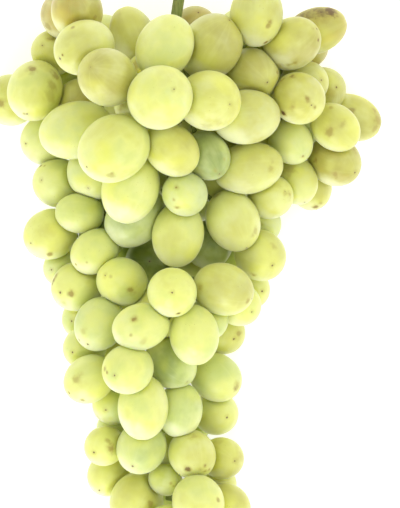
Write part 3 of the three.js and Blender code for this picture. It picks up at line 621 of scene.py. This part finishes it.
def find_sprays(berries):
    """The berries of each faceted spray, by the solid that has most points on their skin."""
    names = sorted(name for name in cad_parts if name.startswith("berries_"))
    clouds = [node_points(name) for name in names]
    sprays = {name: [] for name in names}
    for berry in berries:
        shared = [np.count_nonzero(on_faceted_skin(berry, cloud)) for cloud in clouds]
        sprays[names[np.argmax(shared)]].append(berry)
    return sprays


def find_feet(berries, stem_points):
    """Puts each berry's foot where the stem ends at it, or at the end of its axis."""
    for berry in berries:
        cup = stem_points[on_faceted_skin(berry, stem_points, GAP)]
        out = cup.mean(0) - berry.center if len(cup) else -berry.axis
        out = out / np.linalg.norm(out)
        berry.foot = out * berry.reach(out)
        berry.tip = berry.axis * berry.half_long
        berry.cup = cup


def swell(berries, share):
    """Grows berries about their centres, once their place in the part is known."""
    for berry in berries:
        berry.half *= share
        berry.half_long *= share
        berry.tip *= share
        berry.foot *= share


def top_of(berry, x, y):
    """Height of a berry's upper skin over a point of the plan, or None beside it."""
    # the skin is where p·p + stretch·(p·axis)² = half²
    stretch = (berry.half / berry.half_long) ** 2 - 1
    dx, dy = x - berry.center[0], y - berry.center[1]
    level = dx * berry.axis[0] + dy * berry.axis[1]
    axis_z = berry.axis[2]
    a = 1 + stretch * axis_z ** 2
    b = 2 * stretch * level * axis_z
    c = dx ** 2 + dy ** 2 + stretch * level ** 2 - berry.half ** 2
    inside = b ** 2 - 4 * a * c
    if inside < 0:
        return None
    return berry.center[2] + (-b + math.sqrt(inside)) / (2 * a)


def put_marks(berries, marks):
    """Gives each mark to the berry that is seen there from above."""
    for x, y, radius, depth in marks:
        best = None
        for berry in berries:
            top = top_of(berry, x, y)
            if top is not None and (best is None or top > best[0]):
                best = (top, berry)
        if best and len(best[1].marks) < len(MARKS_PER_BERRY):
            best[1].marks.append((np.array([x, y, best[0]]), radius, depth))


# ---------- stem ----------


def reaching_points(shape, berries):
    """The stem's points, swelled a little, with each little stem's end sunk in its berry."""
    points = np.array([vert.co for vert in shape.verts]) / MM + ORIGIN
    points += np.array([vert.normal for vert in shape.verts]) * STEM_SWELL
    for berry in berries:
        for cup_point in berry.cup:
            index = np.linalg.norm(points - cup_point, axis=1).argmin()
            toward = berry.center - points[index]
            apart = np.linalg.norm(toward)
            skin = berry.reach(-toward / apart)
            points[index] += toward / apart * (apart - skin + CUP_SINK)
    return points


def make_stem(name, node, berries, material):
    """The faceted stem's branches, rounded, ridged and reaching into their berries."""
    shape = bmesh.new()
    shape.from_mesh(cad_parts[node].data)
    bmesh.ops.remove_doubles(shape, verts=shape.verts, dist=MERGE_WITHIN * MM)
    bmesh.ops.recalc_face_normals(shape, faces=shape.faces)
    shape.normal_update()
    for vert, point in zip(shape.verts, (reaching_points(shape, berries) - ORIGIN) * MM):
        vert.co = point
    coarse = bpy.data.meshes.new("stem_coarse")
    shape.to_mesh(coarse)
    shape.free()
    mesh = remeshed(coarse)
    rounded = np.array([vert.co for vert in mesh.vertices]) / MM + ORIGIN
    outward = np.array([vert.normal for vert in mesh.vertices])
    ridges = [noise.fractal(Vector(point), *RIDGE_NOISE) for point in rounded * RIDGES_PER_MM]
    rounded += outward * (np.array(ridges) * RIDGE_HEIGHT)[:, None]
    rounded[:, 2] = np.maximum(rounded[:, 2], SKIN_GAP)
    faces = [tuple(face.vertices) for face in mesh.polygons]
    bpy.data.meshes.remove(mesh)
    make_piece(name, rounded, faces, material, node)


def remeshed(coarse):
    """A rounded copy of a mesh on an even grid of faces."""
    worked = bpy.data.objects.new("stem_worked", coarse)
    bpy.context.scene.collection.objects.link(worked)
    voxels = worked.modifiers.new("voxels", "REMESH")
    voxels.mode = "VOXEL"
    voxels.voxel_size = STEM_VOXEL * MM
    smooth = worked.modifiers.new("smooth", "SMOOTH")
    smooth.iterations = STEM_SMOOTHING
    bpy.context.view_layer.update()
    shown = worked.evaluated_get(bpy.context.evaluated_depsgraph_get())
    mesh = bpy.data.meshes.new_from_object(shown)
    bpy.data.objects.remove(worked)
    bpy.data.meshes.remove(coarse)
    return mesh


# ---------- materials ----------

RIPENING = [  # linear colours of the skin, from hard green over ripe yellow to sunburnt
    (0.0, (0.30, 0.38, 0.10)),
    (0.2, (0.58, 0.66, 0.23)),
    (0.4, (0.76, 0.79, 0.26)),
    (0.6, (0.64, 0.64, 0.165)),
    (0.8, (0.50, 0.475, 0.12)),
    (1.0, (0.55, 0.405, 0.105)),
]
BLOOM_COLOUR = (0.66, 0.72, 0.45, 1)
OLIVE_COLOUR = (0.50, 0.46, 0.10, 1)
RUSSET_COLOUR = (0.36, 0.26, 0.055, 1)
SCAB_COLOUR = (0.13, 0.065, 0.025, 1)
VEIN_COLOUR = (0.85, 0.87, 0.40, 1)
GLOW_COLOUR = (0.80, 0.81, 0.15, 1)
MILKY_COLOUR = (0.84, 0.87, 0.50, 1)
# painted light: the pale colour painted on the side of each berry that faces the key light
PAINTED_LIGHT_COLOUR = (0.93, 0.95, 0.70, 1)
SHINE_TINT = (0.97, 1.0, 0.86, 1)

# The clouds of noise that the skin is drawn with. The noise has so many clouds a millimetre
# and so much detail, and is drawn at the berry's seed plus a shift. It is then run from one
# pair of values to another.
CLOUDS = {
    # name: per mm, detail, shift, low, high, value at low, value at high
    "mottle": (0.085, 3, 0, 0.3, 0.7, -0.1, 0.1),
    "glow": (0.055, 2, 7, 0.5, 0.72, 0, 0.6),
    "milk": (0.075, 3, 13, 0.5, 0.7, 0, 0.28),
    # painted light: noise that breaks up the edge of the paler lit side
    "painted_light_breakup": (0.1, 3, 19, 0.3, 0.7, -0.15, 0.15),
    "wax": (0.16, 4, 0, 0.38, 0.62, 0.25, 1),
    "pored": (0.12, 1, 0, 0.5, 0.62, 0, 0.45),
    "ragged": (0.9, 3, 0, 0.25, 0.75, -0.45, 0.45),
    "smeared": (0.35, 3, 0, 0.25, 0.75, -0.6, 0.6),
}

# How each layer of the skin sets in with what it depends on. Distances from the tip and the
# foot are millimetres, and those from a mark are in radii of the mark.
RUNS = {
    # name: low, high, strength at low, strength at high
    "veins": (0.48, 0.7, 0, 0.1),
    # painted light: how strongly the side facing the key light is painted pale
    "painted_light": (0.35, 1, 0, 0.65),
    "pores": (0.1, 0.05, 0, 1),
    "halo": (1.8, 0.4, 0, 0.22),
    "ring": (3.4, 1.6, 0, 0.75),
    "scar": (0.55, 0.3, 0, 0.92),
    "smearing": (0.6, 1, 1, 0.4),
    "smudge": (1.9, 0.3, 0, 1),
    "heart": (1.1, 0.3, 0, 1),
    "heart by depth": (0.25, 0.85, 0, 0.85),
    "scab": (1.05, 0.35, 0, 1),
    "scab by depth": (0.65, 1, 0, 1),
}
VEINS_PER_MM, VEIN_DETAIL = 0.55, 2
VEIN_STRETCH = (1, 1, 0.12)  # the veins are this much longer along the berry
PORES_PER_MM = 0.5
WAX_COVER = 0.55  # how much of the skin's colour a whole bloom hides
RAGGED_SCAR, RAGGED_SCAB = 0.4, 0.6  # how ragged the edges of scars and scabs are
SKIN_ROUGHNESS, WAX_ROUGHNESS, SCAR_ROUGHNESS = 0.33, 0.22, 0.25  # the last two are added
FINE_RELIEF, COARSE_RELIEF = (1.6, 3), (0.25, 2)  # lumps per millimetre, and detail
FINE_HEIGHT, SCAR_DEPTH = 0.35, 0.35  # as shares of the coarse relief's height
SKIN_BUMP = {"Strength": 0.35, "Distance": 0.12 * MM}
SKIN_SURFACE = {
    "IOR": 1.48,
    "Specular IOR Level": 0.65,
    "Specular Tint": SHINE_TINT,
    "Subsurface Weight": 0.9,
    "Subsurface Radius": (1.0, 0.95, 0.36),
    "Subsurface Scale": 9 * MM,
    "Sheen Weight": 0.35,
    "Sheen Roughness": 0.25,
    "Sheen Tint": SHINE_TINT,
}

BARK_DARK, BARK_LIGHT = (0.17, 0.22, 0.045, 1), (0.29, 0.34, 0.085, 1)
BARK_DRY, BARK_PORE = (0.23, 0.14, 0.05, 1), (0.16, 0.10, 0.035, 1)
BARK_STRETCH = (1, 0.25, 1)  # streaks and pores are longer along the bunch
BARK_PORES_PER_MM = 1.1
STREAKS, DRY_PATCHES = (0.9, 4, 1), (0.14, 4, 2)  # per millimetre, detail, seed
BARK_RUNS = {
    # name: low, high, strength at low, strength at high
    "streak": (0.3, 0.7, 0, 1),
    "dry": (0.55, 0.72, 0, 0.75),
    "pore": (0.2, 0.08, 0, 0.7),
}
BARK_ROUGHNESS = (0.62, 0.5)  # of the dark and of the light streaks
BARK_BUMP = {"Strength": 0.6, "Distance": 0.15 * MM}
BARK_SURFACE = {
    "Subsurface Weight": 0.15,
    "Subsurface Radius": (1.0, 1.0, 0.4),
    "Subsurface Scale": 0.8 * MM,
}


class Shader:
    """Builds the nodes of one material."""

    def __init__(self, name):
        self.material = bpy.data.materials.new(name)
        self.material.use_nodes = True
        self.tree = self.material.node_tree
        self.mm = self.vector_math(
            "SCALE", self.add("ShaderNodeTexCoord").outputs["Object"], Scale=1 / MM)

    def add(self, kind, inputs=None, **settings):
        node = self.tree.nodes.new(kind)
        for setting, value in settings.items():
            setattr(node, setting, value)
        self.fill(node, inputs or {})
        return node

    def fill(self, node, inputs):
        """Links a node's sockets to others, or sets them to plain values."""
        for socket, value in inputs.items():
            if isinstance(value, bpy.types.NodeSocket):
                self.tree.links.new(value, node.inputs[socket])
            else:
                node.inputs[socket].default_value = value

    def attribute(self, name, output="Fac"):
        return self.add("ShaderNodeAttribute", attribute_name=name).outputs[output]

    def math(self, operation, *values, clamp=False):
        inputs = dict(enumerate(values))
        return self.add("ShaderNodeMath", inputs, operation=operation, use_clamp=clamp).outputs[0]

    def vector_math(self, operation, *values, **named):
        inputs = {**dict(enumerate(values)), **named}
        node = self.add("ShaderNodeVectorMath", inputs, operation=operation)
        return node.outputs["Value" if operation == "LENGTH" else "Vector"]

    def length(self, name):
        """Length of a vector that is kept as an attribute."""
        return self.vector_math("LENGTH", self.attribute(name, "Vector"))

    def noise(self, per_mm, detail, seed, vector=None):
        inputs = {"Vector": vector or self.mm, "W": seed, "Scale": per_mm, "Detail": detail}
        return self.add("ShaderNodeTexNoise", inputs, noise_dimensions="4D").outputs["Fac"]

    def cells(self, per_mm, vector):
        """Distance from the nearest of many scattered points."""
        inputs = {"Vector": vector, "Scale": per_mm}
        return self.add("ShaderNodeTexVoronoi", inputs, feature="F1").outputs["Distance"]

    def ramp(self, value, low, high, to_low=0.0, to_high=1.0):
        """Runs smoothly from to_low at low to to_high at high."""
        inputs = {"Value": value, "From Min": low, "From Max": high,
                  "To Min": to_low, "To Max": to_high}
        node = self.add("ShaderNodeMapRange", inputs, interpolation_type="SMOOTHSTEP")
        return node.outputs["Result"]

    def mix(self, factor, a, b):
        node = self.add("ShaderNodeMix", data_type="RGBA")
        sockets = [index for index, socket in enumerate(node.inputs) if socket.enabled]
        self.fill(node, dict(zip(sockets, (factor, a, b))))
        return next(socket for socket in node.outputs if socket.enabled)

    def stops(self, value, stops):
        """A colour ramp through (place, colour) stops."""
        node = self.add("ShaderNodeValToRGB", {"Fac": value})
        elements = node.color_ramp.elements
        while len(elements) < len(stops):
            elements.new(1)
        for element, (place, colour) in zip(elements, stops):
            element.position = place
            element.color = (*colour, 1)
        return node.outputs["Color"]

    def finished(self, colour, rough, relief, bump, surface):
        """The material, with its colour, roughness and relief drawn and the rest plain."""
        bumped = self.add("ShaderNodeBump", {"Height": relief, **bump})
        drawn = {"Base Color": colour, "Roughness": rough, "Normal": bumped.outputs["Normal"]}
        self.fill(self.tree.nodes["Principled BSDF"], {**drawn, **surface})
        return self.material


def skin_clouds(s, seed):
    clouds = {}
    for name, (per_mm, detail, shift, *run) in CLOUDS.items():
        clouds[name] = s.ramp(s.noise(per_mm, detail, s.math("ADD", seed, shift)), *run)
    return clouds


def flesh_colour(s, seed, clouds):
    """Green or ripe flesh with veins, a yellow glow and milky clouds, and painted light: paler on
    the side that the key light falls on.
    """
    ripeness = s.math("ADD", s.attribute("ripeness"), clouds["mottle"], clamp=True)
    colour = s.stops(ripeness, RIPENING)
    along = s.vector_math("MULTIPLY", s.attribute("grain", "Vector"), VEIN_STRETCH)
    veins = s.ramp(s.noise(VEINS_PER_MM, VEIN_DETAIL, seed, along), *RUNS["veins"])
    colour = s.mix(veins, colour, VEIN_COLOUR)
    colour = s.mix(clouds["glow"], colour, GLOW_COLOUR)
    colour = s.mix(clouds["milk"], colour, MILKY_COLOUR)
    # painted light: the side facing the key light is painted paler, its edge broken up by noise
    painted_light = s.math("ADD", s.attribute("painted_light_side"), clouds["painted_light_breakup"])
    return s.mix(s.ramp(painted_light, *RUNS["painted_light"]), colour, PAINTED_LIGHT_COLOUR)


def with_wax_and_pores(s, colour, wax, clouds):
    colour = s.mix(s.math("MULTIPLY", wax, WAX_COVER), colour, BLOOM_COLOUR)
    pores = s.ramp(s.cells(PORES_PER_MM, s.mm), *RUNS["pores"])
    return s.mix(s.math("MULTIPLY", pores, clouds["pored"]), colour, RUSSET_COLOUR)


def with_ends(s, colour, clouds):
    """Adds the scar at the tip and the ring round the foot. Also returns the scar."""
    tip = s.length("tip")
    halo = s.ramp(s.math("ADD", tip, clouds["ragged"]), *RUNS["halo"])
    ring = s.ramp(s.math("ADD", s.length("foot"), clouds["ragged"]), *RUNS["ring"])
    colour = s.mix(s.math("MAXIMUM", halo, ring), colour, RUSSET_COLOUR)
    edge = s.math("MULTIPLY_ADD", clouds["ragged"], RAGGED_SCAR, tip)
    scar = s.ramp(edge, *RUNS["scar"])
    return s.mix(scar, colour, SCAB_COLOUR), scar


def with_mark(s, colour, letter, clouds):
    """Adds an olive smudge round a russet heart, scabbed where deep. Also returns the heart."""
    depth = s.attribute("depth_" + letter)
    smearing = s.ramp(depth, *RUNS["smearing"])
    away = s.math("MULTIPLY_ADD", clouds["smeared"], smearing, s.length("mark_" + letter))
    smudge = s.math("MULTIPLY", s.ramp(away, *RUNS["smudge"]), depth)
    colour = s.mix(smudge, colour, OLIVE_COLOUR)
    deep = s.ramp(depth, *RUNS["heart by depth"])
    heart = s.math("MULTIPLY", s.ramp(away, *RUNS["heart"]), deep)
    colour = s.mix(heart, colour, RUSSET_COLOUR)
    edge = s.math("MULTIPLY_ADD", clouds["ragged"], RAGGED_SCAB, away)
    deepest = s.ramp(depth, *RUNS["scab by depth"])
    scab = s.math("MULTIPLY", s.ramp(edge, *RUNS["scab"]), deepest)
    return s.mix(scab, colour, SCAB_COLOUR), heart


def skin_material():
    s = Shader("grape_skin")
    seed = s.attribute("seed")
    clouds = skin_clouds(s, seed)
    wax = s.math("MULTIPLY", s.attribute("bloom"), clouds["wax"])
    colour = flesh_colour(s, seed, clouds)
    colour = with_wax_and_pores(s, colour, wax, clouds)
    colour, harsh = with_ends(s, colour, clouds)
    for letter in MARKS_PER_BERRY:
        colour, heart = with_mark(s, colour, letter, clouds)
        harsh = s.math("MAXIMUM", harsh, heart)
    rough = s.math("MULTIPLY_ADD", wax, WAX_ROUGHNESS, SKIN_ROUGHNESS)
    rough = s.math("MULTIPLY_ADD", harsh, SCAR_ROUGHNESS, rough)
    fine = s.noise(*FINE_RELIEF, seed)
    relief = s.math("MULTIPLY_ADD", fine, FINE_HEIGHT, s.noise(*COARSE_RELIEF, seed))
    relief = s.math("SUBTRACT", relief, s.math("MULTIPLY", harsh, SCAR_DEPTH))
    return s.finished(colour, rough, relief, SKIN_BUMP, SKIN_SURFACE)


def bark_material():
    s = Shader("grape_stem")
    along = s.vector_math("MULTIPLY", s.mm, BARK_STRETCH)
    streak = s.ramp(s.noise(*STREAKS, along), *BARK_RUNS["streak"])
    dry = s.ramp(s.noise(*DRY_PATCHES), *BARK_RUNS["dry"])
    pore = s.ramp(s.cells(BARK_PORES_PER_MM, along), *BARK_RUNS["pore"])
    colour = s.mix(streak, BARK_DARK, BARK_LIGHT)
    colour = s.mix(dry, colour, BARK_DRY)
    colour = s.mix(pore, colour, BARK_PORE)
    rough = s.ramp(streak, 0, 1, *BARK_ROUGHNESS)
    relief = s.math("SUBTRACT", streak, pore)
    return s.finished(colour, rough, relief, BARK_BUMP, BARK_SURFACE)


# ---------- stage ----------

WHITE = (1, 1, 1, 1)
FLOOR_SIDE = 8.0  # metres
FLOOR_DROP = 0.05  # how far the floor is under the lowest point
FLOOR_COLOUR = (0.86, 0.86, 0.85, 1)
FLOOR_ROUGHNESS = 0.9
FLOOR_GLOW = 0.45  # strength of its own light, which keeps it white under the bunch
AMBIENT = 0.93  # strength of the surround
LIGHTS = [
    # where it stands in metres, side in metres, watts
    ((-0.35, -1.35, 0.7), 0.9, 8.5),
    ((0.8, 0.3, 1.2), 1.2, 3),
]
PHOTO_LONG_SIDE = 508  # pixels
PHOTO_MM_PER_PIXEL = 0.4
PHOTO_MIDDLE = (5.2, 0.0)  # the middle of the picture, in the frame of the lists
CAMERA_HEIGHT = 5.0  # metres above the bunch
SEEN_LEVEL = 45  # height at which the picture's scale holds
SENSOR = 36  # width of the camera's sensor


def make_floor():
    bpy.ops.mesh.primitive_plane_add(size=FLOOR_SIDE, location=(0, 0, -FLOOR_DROP * MM))
    floor = bpy.context.object
    floor.name = "floor"
    material = bpy.data.materials.new("floor")
    material.use_nodes = True
    inputs = material.node_tree.nodes["Principled BSDF"].inputs
    inputs["Base Color"].default_value = FLOOR_COLOUR
    inputs["Roughness"].default_value = FLOOR_ROUGHNESS
    inputs["Emission Color"].default_value = WHITE
    inputs["Emission Strength"].default_value = FLOOR_GLOW
    floor.data.materials.append(material)


def make_light():
    """An even white surround, and softboxes that all face the middle of the bunch."""
    world = bpy.data.worlds.new("studio")
    world.use_nodes = True
    inputs = world.node_tree.nodes["Background"].inputs
    inputs["Color"].default_value = WHITE
    inputs["Strength"].default_value = AMBIENT
    bpy.context.scene.world = world
    for place, side, power in LIGHTS:
        light = bpy.data.lights.new("softbox", "AREA")
        light.size = side
        light.energy = power
        softbox = bpy.data.objects.new("softbox", light)
        softbox.location = place
        softbox.rotation_euler = (-Vector(place)).to_track_quat("-Z", "Y").to_euler()
        softbox.visible_camera = False
        bpy.context.scene.collection.objects.link(softbox)


def make_camera():
    """Looks straight down, from so far up that the picture's scale is the same all over."""
    lens = bpy.data.cameras.new("camera")
    seen = PHOTO_LONG_SIDE * PHOTO_MM_PER_PIXEL * MM
    lens.sensor_width = SENSOR
    lens.lens = SENSOR * CAMERA_HEIGHT / seen
    lens.clip_end = 2 * CAMERA_HEIGHT
    camera = bpy.data.objects.new("camera", lens)
    camera.location = (
        (PHOTO_MIDDLE[0] - ORIGIN[0]) * MM,
        (PHOTO_MIDDLE[1] - ORIGIN[1]) * MM,
        CAMERA_HEIGHT + SEEN_LEVEL * MM,
    )
    bpy.context.scene.collection.objects.link(camera)
    bpy.context.scene.camera = camera


# ---------- the scene ----------

upper = pile_up(UPPER)
pile = fill_below(upper)
fill_gaps(upper, pile)
berries = pile.berries
for index, berry in enumerate(berries):
    berry.index = index
    berry.seed = SEED_RANGE * (index * GOLDEN % 1)
    berry.marks = []
sprays = find_sprays(berries)
find_feet(berries, node_points("stem"))
swell(berries[:DEEPEST] + berries[len(UPPER) - SMALLEST:], HIDDEN_SWELL)
find_contacts(berries)
put_marks(berries, MARKS)

skin, bark = skin_material(), bark_material()
sphere = unit_sphere()
for node, spray in sprays.items():
    make_spray(node.replace("berries", "grapes"), node, spray, sphere, skin)
make_stem("branching_stem", "stem", berries, bark)

make_floor()
make_light()
make_camera()
bpy.context.scene.view_settings.view_transform = "Standard"
